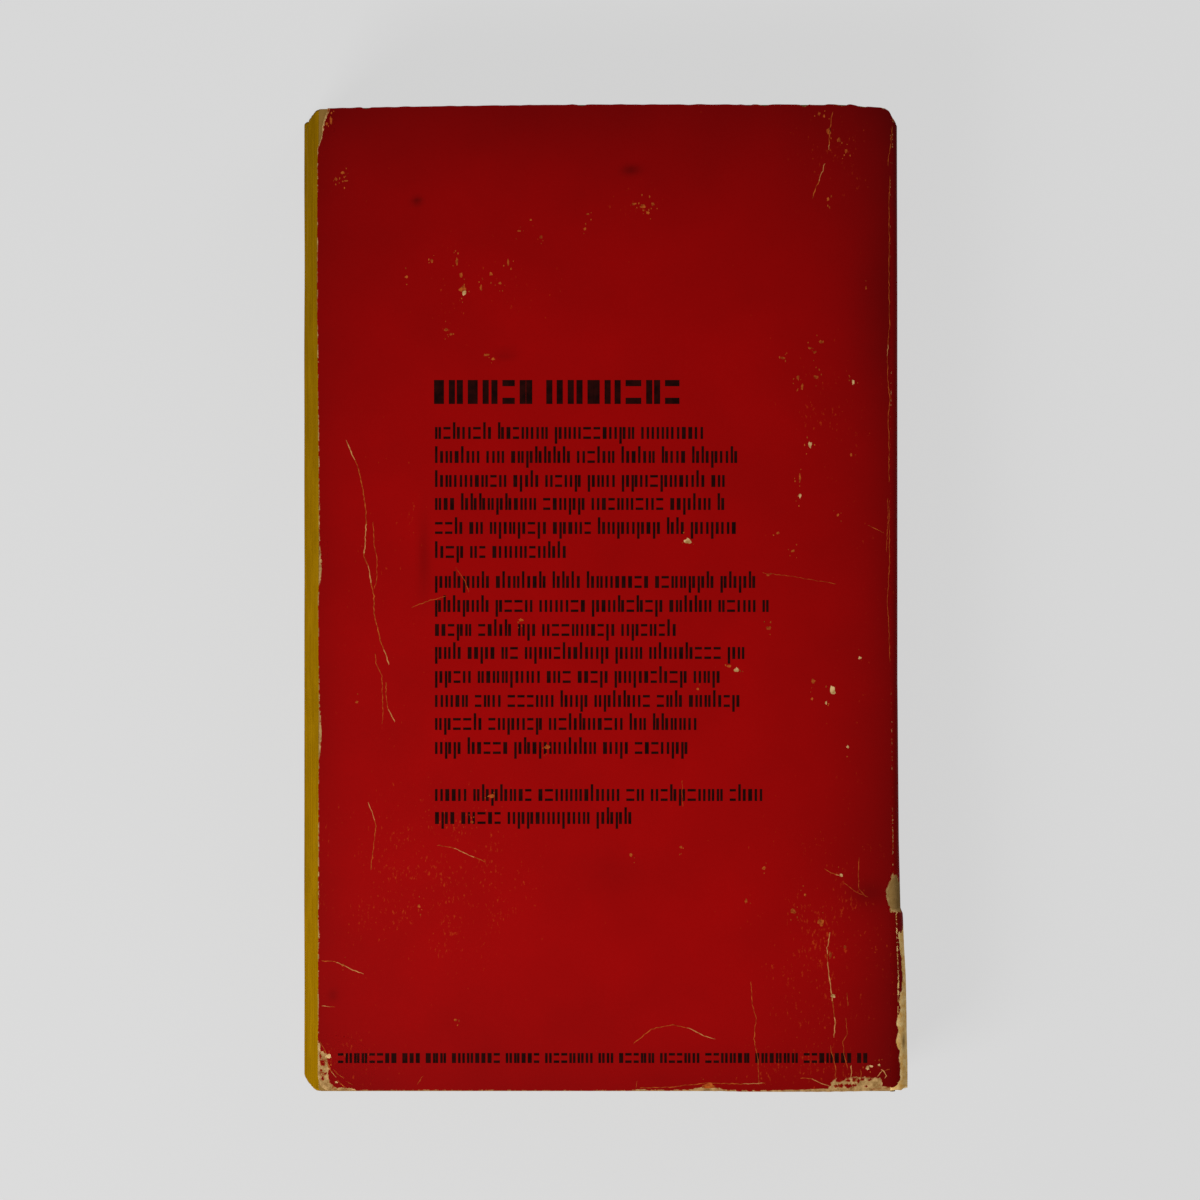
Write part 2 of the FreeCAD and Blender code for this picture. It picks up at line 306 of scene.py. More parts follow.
def rubbed(distance, reach):
    """Rubbing of an edge that bares a band about reach wide. A narrow one stays mostly red."""
    strength = np.clip(reach / (0.4 * MM), 0, 1)
    broad = 0.66 * np.clip(4 * (1.15 - distance / np.maximum(reach, 0.2 * MM)), 0, 1)
    rim = np.clip(1.1 - distance / np.maximum(0.25 * MM, 0.2 * reach), 0, 1)
    return strength * np.maximum(broad, rim)


def cover_fore(y):
    """x of the back cover's fore edge."""
    return photo_x(along(FORE_EDGE_PX, pixel_y(y)))


def spots(x, y, places_px):
    """The sum of soft spots, each (x, y, half width, half height, amount) in photo pixels."""
    total = np.zeros(np.shape(x))
    for at_x, at_y, half_x, half_y, amount in places_px:
        away = np.hypot((pixel_x(x) - at_x) / half_x, (pixel_y(y) - at_y) / half_y)
        total = total + amount * np.exp(-away ** 2)
    return total


# Materials


def colour(code):
    """Linear red, green, blue and alpha of an sRGB hex colour."""
    parts = [int(code[i:i + 2], 16) / 255 for i in (1, 3, 5)]
    return [p / 12.92 if p <= 0.04045 else ((p + 0.055) / 1.055) ** 2.4 for p in parts] + [1.0]


def per(size_mm):
    """The scale of a pattern whose features are size_mm across."""
    return 1 / (size_mm * MM)


def node(tree, kind, inputs, **settings):
    """Adds a node. inputs gives each socket, by name or number, a value or the socket to link from."""
    made = tree.nodes.new("ShaderNode" + kind)
    for name, value in settings.items():
        setattr(made, name, value)
    for key, value in inputs.items():
        if isinstance(value, bpy.types.NodeSocket):
            tree.links.new(value, made.inputs[key])
        else:
            made.inputs[key].default_value = value
    return made


MIX_FIRST = 6     # colour sockets of a Mix node
MIX_SECOND = 7
MIX_RESULT = 2


def new_material(name, roughness, specular):
    """A plain material: its node tree, its Principled shader and the coordinates of the piece."""
    material = bpy.data.materials.new(name)
    material.use_nodes = True
    tree = material.node_tree
    shader = tree.nodes["Principled BSDF"]
    shader.inputs["Roughness"].default_value = roughness
    shader.inputs["Specular IOR Level"].default_value = specular
    place = node(tree, "TexCoord", {}).outputs["Object"]
    return material, tree, shader, place


def blend_colours(tree, share, first, second):
    """first where share is 0 and second where it is 1. Each is a hex colour or a socket."""
    ends = [colour(end) if isinstance(end, str) else end for end in (first, second)]
    return node(tree, "Mix", {0: share, MIX_FIRST: ends[0], MIX_SECOND: ends[1]},
                data_type="RGBA").outputs[MIX_RESULT]


def maths(tree, operation, *values):
    return node(tree, "Math", dict(enumerate(values)), operation=operation).outputs[0]


def ramp(tree, value, low, high, start=0.0, end=1.0, curve="LINEAR"):
    """start where value is low or less, end where it is high or more."""
    return node(tree, "MapRange", {"Value": value, "From Min": low, "From Max": high, "To Min": start,
                                   "To Max": end}, interpolation_type=curve).outputs["Result"]


def noise(tree, place, size_mm, detail, roughness=0.5, output="Fac"):
    return node(tree, "TexNoise", {"Vector": place, "Scale": per(size_mm), "Detail": detail,
                                   "Roughness": roughness}).outputs[output]


def add_bump(tree, shader, height, distance_mm, strength):
    bump = node(tree, "Bump", {"Height": height, "Distance": distance_mm * MM, "Strength": strength})
    tree.links.new(bump.outputs["Normal"], shader.inputs["Normal"])


def printed_card():
    """Coated cover board, offset printed red. Rubbed edges and lost flakes bare the cream board."""
    material, tree, shader, place = new_material("offset_printed_cover_board", 0.5, 0.04)
    rub, scuff, grime_and_shade, peel, painted_light = [
        node(tree, "Attribute", {}, attribute_name=name).outputs["Fac"]
        for name in ("rub", "scuff", "grime_and_shade", "peel", "painted_light")]

    # Ink: uneven over centimetres from handling, and a fine grain from the board
    grain = noise(tree, place, 0.5, 2)
    ink = blend_colours(tree, noise(tree, place, 14, 3), "#8B0101", "#A00202")
    ink = blend_colours(tree, maths(tree, "MULTIPLY", grain, 0.25), ink, "#7A0000")
    # Painted shade and grime: this darkens the ink towards black near the edges, the crease and the head,
    # and at the shade patches
    ink = blend_colours(tree, maths(tree, "SUBTRACT", 1.0, grime_and_shade), ink, "#000000")

    # Thinned ink: short upright specks, drawn about twice as coarse as the real ones
    upright = node(tree, "Mapping", {"Vector": place, "Scale": (1.0, 0.45, 1.0)}).outputs["Vector"]
    many = maths(tree, "MULTIPLY", scuff, noise(tree, place, 6, 2))
    level = maths(tree, "MULTIPLY_ADD", many, -0.34, 0.78)
    over = maths(tree, "SUBTRACT", noise(tree, upright, 0.45, 3, 0.65), level)
    ink = blend_colours(tree, ramp(tree, over, 0.0, 0.12, 0.0, 0.45), ink, "#B4440E")

    # Lost flakes: the print breaks along cells a millimetre wide, with frayed edges
    shove = noise(tree, place, 0.9, 3, output="Color")
    jagged = node(tree, "VectorMath", {0: shove, 1: (0.9 * MM,) * 3, 2: place},
                  operation="MULTIPLY_ADD").outputs["Vector"]
    cells = {"Vector": jagged, "Scale": per(1.0)}
    flake = node(tree, "SeparateColor", {0: node(tree, "TexVoronoi", cells).outputs["Color"]}).outputs[0]
    edge = node(tree, "TexVoronoi", cells, feature="DISTANCE_TO_EDGE").outputs["Distance"]
    ragged = maths(tree, "MULTIPLY_ADD", noise(tree, place, 0.7, 5, 0.7), 0.6, -0.30)
    loose = maths(tree, "MULTIPLY_ADD", flake, 0.42, -0.21)
    worn = maths(tree, "ADD", maths(tree, "ADD", rub, ragged), loose)
    # Nothing is lost where there is no rubbing at all
    worn = maths(tree, "MULTIPLY", worn, ramp(tree, rub, 0.02, 0.2))
    halo = ramp(tree, worn, 0.30, 0.48, 0.0, 0.7)
    gap = ramp(tree, edge, 0.05, 0.13, 1.0, 0.0)
    cracks = maths(tree, "MULTIPLY", gap, ramp(tree, worn, 0.28, 0.42, 0.0, 0.8))
    bare = maths(tree, "MAXIMUM", ramp(tree, worn, 0.46, 0.54), cracks)

    # Bared board: stained where it is old, brown where it has peeled and in a dent of the loose spine
    # strip, where the brown is painted shadow. On that strip the board is painted lighter and yellower, as
    # painted light on a shoulder that faces away from the key lamp
    stain = ramp(tree, noise(tree, place, 1.3, 5, 0.7), 0.35, 0.68)
    board = blend_colours(tree, stain, "#7F5C30", "#C39E68")
    board = blend_colours(tree, painted_light, board, blend_colours(tree, stain, "#DCA552", "#FBDB98"))
    board = blend_colours(tree, maths(tree, "MULTIPLY", peel, 0.85), board, "#7C5F33")
    surface = blend_colours(tree, bare, blend_colours(tree, halo, ink, "#94400F"), board)
    tree.links.new(surface, shader.inputs["Base Color"])
    tree.links.new(ramp(tree, bare, 0.0, 1.0, 0.52, 0.9), shader.inputs["Roughness"])
    depth = maths(tree, "MULTIPLY_ADD", bare, -1.0, 1.0)
    add_bump(tree, shader, maths(tree, "MULTIPLY_ADD", grain, 0.12, depth), 0.06, 0.5)
    return material


def raw_board():
    """The uncoated inside of the cover board: aged cream with brown specks, matt."""
    material, tree, shader, place = new_material("uncoated_cover_board", 0.9, 0.2)
    base = blend_colours(tree, noise(tree, place, 35, 5), "#B99A66", "#D2B885")
    spot = ramp(tree, noise(tree, place, 2.5, 2), 0.70, 0.80, 0.0, 0.5)
    tree.links.new(blend_colours(tree, spot, base, "#8E6330"), shader.inputs["Base Color"])
    add_bump(tree, shader, noise(tree, place, 0.4, 3), 0.02, 0.4)
    return material


def leaf_edges():
    """Cut edges of pulp paper, sprayed yellow. Leaf lines are drawn at twice the leaf's thickness."""
    material, tree, shader, place = new_material("edge_stained_pulp_paper", 0.88, 0.0)
    flat = node(tree, "Mapping", {"Vector": place, "Scale": (0.012, 0.012, 1.0)}).outputs["Vector"]
    leaf = noise(tree, flat, 0.28, 2, 0.6)
    base = blend_colours(tree, ramp(tree, leaf, 0.3, 0.7), "#765402", "#966D03")
    stripes = ramp(tree, noise(tree, flat, 1.6, 2), 0.35, 0.65, 0.0, 0.7)
    base = blend_colours(tree, stripes, base, "#836002")
    faded = ramp(tree, noise(tree, place, 9, 4), 0.45, 0.75, 0.0, 0.5)
    base = blend_colours(tree, faded, base, "#A07808")
    # Painted shade darkens the edges towards the head, where a few low leaves stand out that are rubbed
    # pale
    spot = node(tree, "SeparateXYZ", {0: place}).outputs
    base = blend_colours(tree, ramp(tree, spot["Y"], 0.0, HEAD, 0.0, 0.25), base, "#3E2A00")
    off = maths(tree, "ABSOLUTE", maths(tree, "SUBTRACT", spot["Z"], PALE_LEAVES))
    line = ramp(tree, off, 0.08 * MM, 0.3 * MM, 1.0, 0.0)
    pale = maths(tree, "MULTIPLY", line, ramp(tree, spot["Y"], 40 * MM, 75 * MM, 0.0, 0.9))
    tree.links.new(blend_colours(tree, pale, base, "#A08450"), shader.inputs["Base Color"])
    add_bump(tree, shader, leaf, 0.08, 0.7)
    return material


def pulp_page():
    """The face of a blank leaf of pulp paper, browned by age, darker towards its edges."""
    material, tree, shader, place = new_material("browned_pulp_paper", 0.92, 0.15)
    cloud = noise(tree, place, 18, 6, 0.6)
    fibre = noise(tree, place, 0.6, 3)
    base = blend_colours(tree, cloud, "#A5834A", "#C3A266")
    base = blend_colours(tree, ramp(tree, fibre, 0.3, 0.75, 0.0, 0.35), base, "#8A6A35")
    spot = node(tree, "SeparateXYZ", {0: place}).outputs
    browned = 0.0
    for axis, edge, inwards in (("X", pages_low.x + LEAN, 1), ("Y", TAIL, 1), ("Y", HEAD, -1)):
        near = ramp(tree, spot[axis], edge, edge + inwards * BROWNED_BORDER, 1.0, 0.0, "SMOOTHSTEP")
        browned = maths(tree, "MAXIMUM", browned, near)
    share = maths(tree, "MULTIPLY", browned, maths(tree, "MULTIPLY_ADD", cloud, 0.5, 0.5))
    tree.links.new(blend_colours(tree, share, base, "#74521A"), shader.inputs["Base Color"])
    add_bump(tree, shader, fibre, 0.02, 0.5)
    return material


def old_glue():
    """Hot-melt binding glue, gone brown, with paper fibres in it."""
    material, tree, shader, place = new_material("aged_hot_melt_glue", 0.6, 0.5)
    fibre = noise(tree, place, 1.2, 5)
    tree.links.new(blend_colours(tree, fibre, "#6E5426", "#A98A55"), shader.inputs["Base Color"])
    add_bump(tree, shader, fibre, 0.1, 0.5)
    return material


def mark(name, low, high, size_mm):
    """A matt mark in the print, uneven between two colours."""
    material, tree, shader, place = new_material(name, 0.8, 0.05)
    share = ramp(tree, noise(tree, place, size_mm, 3), 0.35, 0.65)
    tree.links.new(blend_colours(tree, share, low, high), shader.inputs["Base Color"])
    return material


def pale_floor():
    """A seamless pale paper floor that keeps a soft shadow and shows the same grey all over."""
    material, tree, shader, _ = new_material("pale_paper_floor", 1.0, 0.0)
    shader.inputs["Base Color"].default_value = colour(FLOOR_COLOUR)
    path = node(tree, "LightPath", {})
    seen = path.outputs["Is Camera Ray"]
    for ray in ("Is Glossy Ray", "Is Transmission Ray"):
        seen = maths(tree, "MAXIMUM", seen, path.outputs[ray])
    share = maths(tree, "MULTIPLY", seen, FLOOR_GLOW)
    glow = node(tree, "Emission", {"Color": colour(FLOOR_COLOUR), "Strength": 1.0}).outputs["Emission"]
    both = node(tree, "MixShader", {0: share, 1: shader.outputs["BSDF"], 2: glow}).outputs["Shader"]
    tree.links.new(both, tree.nodes["Material Output"].inputs["Surface"])
    return material


# Meshes


def add_piece(name, points, faces, slots, materials, marks=None, smooth_angle=40):
    """A new object. slots gives each face's material, marks the values that the shaders read."""
    mesh = bpy.data.meshes.new(name)
    mesh.from_pydata([tuple(p) for p in points], [], [tuple(f) for f in faces])
    for material in materials:
        mesh.materials.append(material)
    mesh.polygons.foreach_set("material_index", np.array(slots, dtype=np.int32))
    mesh.polygons.foreach_set("use_smooth", np.ones(len(faces), dtype=bool))
    for key, values in (marks or {}).items():
        layer = mesh.attributes.new(key, "FLOAT", "POINT")
        layer.data.foreach_set("value", np.ascontiguousarray(values, dtype=np.float32))
    mesh.update()
    mesh.set_sharp_from_angle(angle=math.radians(smooth_angle))
    piece = bpy.data.objects.new(name, mesh)
    bpy.context.scene.collection.objects.link(piece)
    return piece


def closed_sheet(name, outer, inner, marks, materials):
    """A sheet of card between two grids of points, [row, column, xyz], closed round its rim."""
    rows, columns = outer.shape[:2]
    count = rows * columns
    index = np.arange(count).reshape(rows, columns)
    quads = np.stack([index[:-1, :-1], index[:-1, 1:], index[1:, 1:], index[1:, :-1]], -1).reshape(-1, 4)
    rim = np.concatenate([index[0, :-1], index[:-1, -1], index[-1, :0:-1], index[:0:-1, 0]])
    after = np.roll(rim, -1)
    edges = np.stack([after, rim, rim + count, after + count], -1)
    faces = np.concatenate([quads, quads[:, ::-1] + count, edges])
    slots = [0] * len(quads) + [1] * (len(quads) + len(edges))
    points = np.concatenate([outer.reshape(-1, 3), inner.reshape(-1, 3)])
    doubled = {key: np.tile(values.reshape(-1), 2) for key, values in marks.items()}
    return add_piece(name, points, faces, slots, materials, doubled)


ROWS = spread(232, 0.85)


def cover_grid():
    """x and y of the back cover's points, by row from tail to head and by column to the crease."""
    share = spread(202, 0.75)
    u, v = np.meshgrid(share, ROWS)
    guess = photo_x(along(FORE_EDGE_PX, 600)) + COVER_WIDTH * u
    y = edge_y(TAIL_EDGE_PX, guess) + (edge_y(HEAD_EDGE_PX, guess) - edge_y(TAIL_EDGE_PX, guess)) * v
    fore = cover_fore(y) + 0.05 * MM * wander(y, 5 * MM, 1)
    x = fore + (BACK_CREASE_X - fore) * u
    tail = edge_y(TAIL_EDGE_PX, x) + 0.05 * MM * wander(x, 4 * MM, 2)
    head = edge_y(HEAD_EDGE_PX, x) + 0.09 * MM * wander(x, 4 * MM, 3) * (1 - u ** 30)
    for nick_x, depth, half in HEAD_NICKS_PX:
        head = head - depth * PX * np.clip(1 - np.abs(pixel_x(x) - nick_x) / half, 0, 1)
    return x, tail + (head - tail) * v, fore, tail, head


def edge_y(points, x):
    return photo_y(along(points, pixel_x(x)))


def cover_lift(x, y):
    """How far the back cover stands off the pages: its fore edge has curled up a little."""
    out = np.clip((BACK_CREASE_X - x) / COVER_WIDTH, 0, 1)
    wave = 0.6 + 0.25 * np.cos(TURN * y / (120 * MM) + 0.8) + 0.15 * np.cos(TURN * y / (47 * MM))
    corner = np.exp(-np.hypot(x - back_low.x, y - TAIL) / (22 * MM))
    return (0.30 * wave * out ** 4 + 0.22 * corner) * MM


def grime_and_shade_factor(to_crease, to_head, to_fore, to_tail):
    """How much of its brightness the print keeps: darker towards the edges and the crease, partly grime
    and partly painted shade.
    """
    keep = 1 - 0.46 * np.exp(-to_crease / (9 * MM))
    keep = keep * (1 - 0.44 * np.exp(-to_head / (20 * MM)))
    keep = keep * (1 - 0.24 * np.exp(-to_fore / (6 * MM)))
    return keep * (1 - 0.28 * np.exp(-to_tail / (12 * MM)))


SCUFFED_PX = [   # (x, y, half width, half height, how much) of the scuffed areas
    (430, 880, 130, 110, 0.9), (390, 560, 60, 150, 0.45), (820, 960, 70, 130, 0.8),
    (830, 150, 50, 60, 0.6), (480, 280, 90, 60, 0.5), (810, 400, 50, 70, 0.6),
    (640, 205, 50, 25, 0.5), (350, 175, 35, 30, 0.5), (860, 620, 30, 250, 0.4),
    (350, 1060, 60, 35, 0.7), (780, 1070, 110, 25, 0.6),
]
SMUDGES_AND_SHADE_PX = [   # (x, y, half width, half height, how dark) of dark smudges and of painted shade
    # The dent line at (424, 555), the patch beside the chip at (868, 893) and the broad patches at (888,
    # 310), (860, 830) and (360, 300) are painted shade; the rest are smudges
    (417, 201, 5, 4, 0.5), (631, 170, 9, 5, 0.45), (424, 555, 6, 40, 0.25), (505, 355, 12, 6, 0.2),
    (610, 872, 40, 26, 0.12), (868, 893, 18, 12, 0.25), (333, 995, 5, 6, 0.2),
    (888, 310, 42, 85, 0.24), (860, 830, 40, 60, 0.1), (360, 300, 60, 110, 0.1),
]


def sunk(inside):
    return np.clip(3 * inside - 1.3, 0, 1)


def peeled(inside):
    return np.clip(4 * inside - 2.7, 0, 1)


def back_cover(print_side, board_side):
    x, y, fore, tail, head = cover_grid()
    to_crease = BACK_CREASE_X - x
    rub = np.maximum.reduce([
        rubbed(x - fore, along(FORE_RUB, pixel_y(y)) * MM),
        rubbed(head - y, along(HEAD_RUB, pixel_x(x)) * MM),
        rubbed(y - tail, along(TAIL_RUB, pixel_x(x)) * MM),
        along(CREASE_RUB, pixel_y(y)) * fade(to_crease, CREASE_HALF),
        chip(x, y),
    ])
    left_red = [place + (LEFT_RED,) for place in LEFT_RED_PX]
    # Painted shade with grime: the print darkens towards the edges and the crease, and at the patches
    # listed above
    smudges_and_shade = np.clip(spots(x, y, SMUDGES_AND_SHADE_PX), 0, 1)
    marks = {
        "rub": rub - spots(x, y, left_red),
        "peel": peeled(chip(x, y)),
        "scuff": 0.25 + spots(x, y, SCUFFED_PX),
        "grime_and_shade": grime_and_shade_factor(to_crease, head - y, x - fore, y - tail) * (1 - smudges_and_shade),
    }
    z = TOP + cover_lift(x, y)
    outer = np.stack([x, y, z - CHIP_DEPTH * sunk(chip(x, y))], -1)
    inner = np.stack([x, y, z - CARD], -1)
    piece = closed_sheet("worn_back_cover", outer, inner, marks, [print_side, board_side])
    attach(piece, "back_board")
    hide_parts("back_cover")


def front_cover(print_side, board_side):
    """The front cover, under the book: plain red outside, rubbed at its edges and corners."""
    share_x, share_y = np.meshgrid(spread(90, 0.6), spread(150, 0.7))
    corner_head = 3.0 * MM
    corner_tail = 2.2 * MM
    y = TAIL + (HEAD - TAIL) * share_y
    from_tail = np.clip(corner_tail - (y - TAIL), 0, corner_tail)
    from_head = np.clip(corner_head - (HEAD - y), 0, corner_head)
    cut = corner_tail - np.sqrt(corner_tail ** 2 - from_tail ** 2)
    cut = cut + corner_head - np.sqrt(corner_head ** 2 - from_head ** 2)
    fore = front_low.x + cut + 0.06 * MM * (1 + wander(y, 6 * MM, 21))
    x = fore + (FRONT_CREASE_X - fore) * share_x
    shift = FRONT_CREASE_X - BACK_CREASE_X
    head = edge_y(HEAD_EDGE_PX, np.maximum(x - shift, photo_x(330))) + 0.05 * MM * wander(x, 5 * MM, 22)
    head = head + (HEAD - 0.4 * MM - head) * share_x ** 12
    tail = TAIL + 0.05 * MM * (1 + wander(x, 5 * MM, 23))
    y = tail + (head - tail) * share_y
    rub = np.maximum.reduce([
        rubbed(x - fore, (0.25 + 0.2 * wander(y, 20 * MM, 24)) * MM),
        rubbed(head - y, (0.2 + 0.15 * wander(x, 18 * MM, 26)) * MM),
        rubbed(y - tail, (0.3 + 0.2 * wander(x, 15 * MM, 25)) * MM),
        rubbed(np.hypot(x - fore.min(), y - TAIL), 3.6 * MM + 0 * x),
        rubbed(np.hypot(x - fore.min(), y - HEAD), 2.8 * MM + 0 * x),
        0.5 * fade(FRONT_CREASE_X - x, CREASE_HALF),
    ])
    marks = {
        "rub": rub,
        "scuff": np.full(x.shape, 0.7),
        # Painted shade with grime: darker towards the edges and the crease
        "grime_and_shade": grime_and_shade_factor(FRONT_CREASE_X - x, head - y, x - fore, y - tail),
    }
    outer = np.stack([x, y, 0 * x], -1)
    inner = np.stack([x, y, 0 * x + CARD], -1)
    turned = {key: values[:, ::-1] for key, values in marks.items()}
    piece = closed_sheet("worn_front_cover", outer[:, ::-1], inner[:, ::-1], turned,
                         [print_side, board_side])
    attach(piece, "front_board")
    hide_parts("front_cover")


def spine_section(share, inset, flare):
    """(x, z) at share of the way round the spine, from the back crease to the front crease."""
    back_radius = SHOULDER_RADIUS + flare
    across = LEAN + 0 * flare
    up = TOP - back_radius - SHOULDER_RADIUS
    facing = np.arctan2(up, across) - np.arccos((SHOULDER_RADIUS - back_radius) / np.hypot(across, up))
    back_turn = math.pi / 2 - facing
    front_turn = facing + math.pi / 2
    flat = np.sqrt(across ** 2 + up ** 2 - (back_radius - SHOULDER_RADIUS) ** 2)
    first = back_radius * back_turn
    second = first + flat
    total = second + SHOULDER_RADIUS * front_turn
    run = share * total
    on_back = np.clip(run / back_radius, 0, back_turn)
    on_front = np.clip((run - second) / SHOULDER_RADIUS, 0, front_turn)
    on_flat = np.clip((run - first) / flat, 0, 1)
    angle_back = math.pi / 2 - on_back
    x_back = BACK_CREASE_X + (back_radius - inset) * np.cos(angle_back)
    z_back = TOP - back_radius + (back_radius - inset) * np.sin(angle_back)
    angle_front = facing - on_front
    x_front = FRONT_CREASE_X + (SHOULDER_RADIUS - inset) * np.cos(angle_front)
    z_front = SHOULDER_RADIUS + (SHOULDER_RADIUS - inset) * np.sin(angle_front)
    x = x_back + (x_front - x_back) * on_flat
    z = z_back + (z_front - z_back) * on_flat
    return x, z, run, total


# Creases that reading has made: (millimetres round the spine, how deep)
SPINE_CREASES = [(5.4, 0.45), (10.2, 1.0), (12.0, 0.5), (18.6, 0.7)]


def spine_cover(print_side, board_side):
    """The card over the spine: reading creases, and its tail torn loose and rubbed bare."""
    y_crease = cover_grid()[1][:, -1]
    columns = spread(124, 0.4)
    share, y = np.meshgrid(columns, y_crease)
    stand_off = along(STAND_OFF_PX, pixel_y(y)) * PX
    x, z, run, total = spine_section(share, 0.0, stand_off)

    # The head and the tail are rubbed off at the back shoulder
    height = (y - y_crease.min()) / (y_crease.max() - y_crease.min())
    ragged = 0.12 * MM * np.clip(run / MM, 0, 1)
    head = photo_y(along(SPINE_HEAD_PX, run / MM)) + ragged * wander(run, 3 * MM, 31)
    tail = photo_y(along(SPINE_TAIL_PX, run / MM)) + ragged * wander(run, 3 * MM, 32)
    y = y + (head - y_crease.max()) * height ** 30 + (tail - y_crease.min()) * (1 - height) ** 60

    # Reading creases press into the card and crack the print along their length
    pressed = np.zeros(x.shape)
    cracked = np.zeros(x.shape)
    for number, (place, depth) in enumerate(SPINE_CREASES):
        line = (place + 0.8 * wander(y, 90 * MM, 40 + number)) * MM
        depth_here = depth * np.clip(0.75 + 0.8 * wander(y, 55 * MM, 50 + number), 0, 1)
        broken = np.clip(0.3 + 1.6 * wander(y, 10 * MM, 60 + number), 0, 1)
        away = np.abs(run - line)
        pressed = pressed + 0.2 * MM * depth_here * np.exp(-(away / (0.5 * MM)) ** 2)
        cracked = np.maximum(cracked, depth_here * (0.3 + 0.35 * broken) * fade(away, 0.3 * MM))
    bowed = 0.25 * MM * np.sin(math.pi * np.clip(run / total, 0, 1)) ** 2
    x = x + bowed - pressed

    px, py = pixel_x(x), pixel_y(y)
    past = run - (SHOULDER_RADIUS + stand_off) * math.pi / 2
    seen = past < 0
    strip = np.clip(0.5 + (px - along(SPINE_RUB_PX, py)) * PX / (0.5 * MM), 0, 0.85) * (py > STRIP_FROM_PX)
    # Out of sight from above the rubbed band tapers off towards the tear
    band = 0.8 + 4.6 * np.clip((py - TEAR_PX) / (TAIL_PX - TEAR_PX), 0, 1) + 1.8 * wander(y, 9 * MM, 35)
    down = 0.85 * np.clip(1.2 - past / (np.maximum(band, 0.4) * MM), 0, 1) * (py > BAND_FROM_PX)
    fold_y, fold_x, fold_worn = zip(*SPINE_LINE_PX)
    from_fold = np.abs(px - np.interp(py, fold_y, fold_x)) * PX
    fold = np.interp(py, fold_y, fold_worn) * fade(from_fold, CREASE_HALF)
    rounded = np.sqrt(np.clip(1 - ((py - CHIP_MIDDLE_PX) / CHIP_HALF_PX) ** 2, 0, 1))
    peel = np.minimum(chip(np.where(seen, x, BACK_CREASE_X), y),
                      np.clip(0.5 + (CHIP_ROUND * rounded - run) / (0.35 * MM), 0, 1))
    rub = np.maximum.reduce([
        along(CREASE_RUB, py) * fade(run, CREASE_HALF),
        fold * seen,
        peel,
        np.where(seen, strip, down),
        rubbed(y.max(0) - y, (0.16 + 0.1 * wander(run, 6 * MM, 33)) * MM),
        rubbed(y - y.min(0), (0.6 + 0.3 * wander(run, 6 * MM, 34)) * MM),
        0.5 * fade(total - run, CREASE_HALF),
        cracked,
    ])
    z = z - CHIP_DEPTH * sunk(peel)
    # Painted shadow in the dent, carried by the peel mark
    dent_shadow = spots(x, y, [DENT_SHADOW_PX + (1.0,)]) * seen
    # Painted shade with grime: darkest at the back crease, lighter further round the spine, darker towards
    # head and tail
    keep = grime_and_shade_factor(0 * run, y.max() - y, HEAD + 0 * x, y - y.min())
    marks = {
        "rub": rub,
        "peel": np.maximum(peeled(peel), dent_shadow),
        # Painted light: the bared board of the loose strip is painted brighter
        "painted_light": 0.9 * (py > TEAR_PX),
        "scuff": np.full(x.shape, 0.6),
        "grime_and_shade": keep * (1 + 0.6 * np.tanh(run / (6 * MM))),
    }
    outer = np.stack([x, y, z], -1)
    x_in, z_in, _, _ = spine_section(share, CARD, stand_off)
    inner = np.stack([x_in + bowed - pressed, y, z_in], -1)
    piece = closed_sheet("worn_spine_cover", outer, inner, marks, [print_side, board_side])
    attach(piece, "bound_pages")
    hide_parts("spine_cover")


LEAF_BATCHES = 62            # ridges in the page edges, each drawn as a few leaves
# (height, radius) of the leaves' corners in millimetres. Some low leaves are cut more at the head.
PAGE_HEAD_CORNER = [(0.3, 0.5), (2.2, 0.6), (2.6, 2.2), (8.4, 1.7), (9.0, 0.8), (24.3, 0.5)]
PAGE_TAIL_CORNER = [(0.3, 0.9), (3, 0.5), (8, 0.15), (19, 0.15), (24.3, 0.6)]
# The uppermost leaves are worn back under the cover's fore edge, but not where its corner is torn off
TOP_LEAVES = 2.0 * MM
WORN_BACK = 0.65 * MM
WORN_TO = photo_x(318.4)
PALE_LEAVES = 6.5 * MM       # height of the few leaves that stand out


